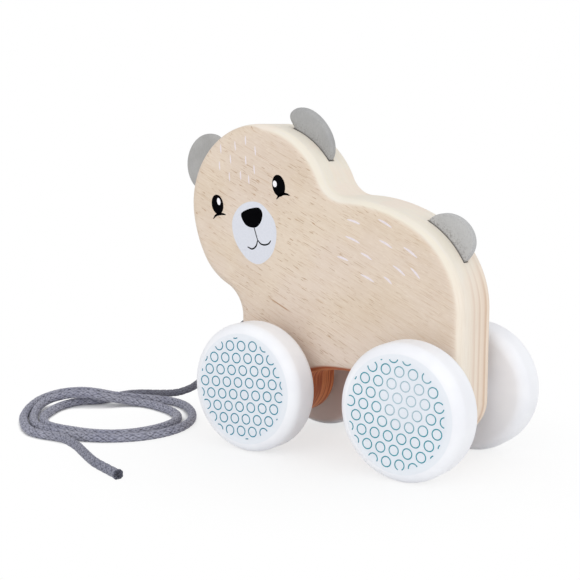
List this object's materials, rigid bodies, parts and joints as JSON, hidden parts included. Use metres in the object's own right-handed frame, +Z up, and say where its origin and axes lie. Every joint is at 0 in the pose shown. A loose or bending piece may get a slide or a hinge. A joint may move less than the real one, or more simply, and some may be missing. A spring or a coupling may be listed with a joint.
{
  "type": "pull-along bear toy",
  "caption": "Wooden pull-along bear: a thick plank body with let-in ears and tail, rolling on paired wheels with dowel axles and drawn by a cord from its chest.",
  "frame": {"origin": "on the floor under the middle of the toy's bounding box, without its cord", "axes": "+X towards the tail, so that the toy faces and is pulled towards -X; +Y towards its right side; +Z up"},
  "size_m": [0.2119, 0.1209, 0.1317],
  "materials": {
    "natural_wood": "satin",
    "grey_painted_wood": "satin paint",
    "white_painted_wood": "satin paint",
    "cord": "braided"
  },
  "bodies": {
    "bear": {"bear_body": "natural_wood", "front_ear": "grey_painted_wood", "rear_ear": "grey_painted_wood", "tail": "grey_painted_wood", "cord_lead": "cord", "cord_loops": "cord", "cord_end": "cord"},
    "front_wheelset": {"front_axle": "natural_wood", "front_left_wheel": "white_painted_wood", "front_right_wheel": "white_painted_wood"},
    "rear_wheelset": {"rear_axle": "natural_wood", "rear_left_wheel": "white_painted_wood", "rear_right_wheel": "white_painted_wood"}
  },
  "joints": [
    {"name": "front_wheels_roll", "type": "hinge", "parent": "bear", "child": "front_wheelset", "pos_m": [-0.01978, 0, 0.025], "axis": [0, 1, 0], "continuous": true},
    {"name": "rear_wheels_roll", "type": "hinge", "parent": "bear", "child": "rear_wheelset", "pos_m": [0.04859, 0, 0.025], "axis": [0, 1, 0], "continuous": true}
  ]
}
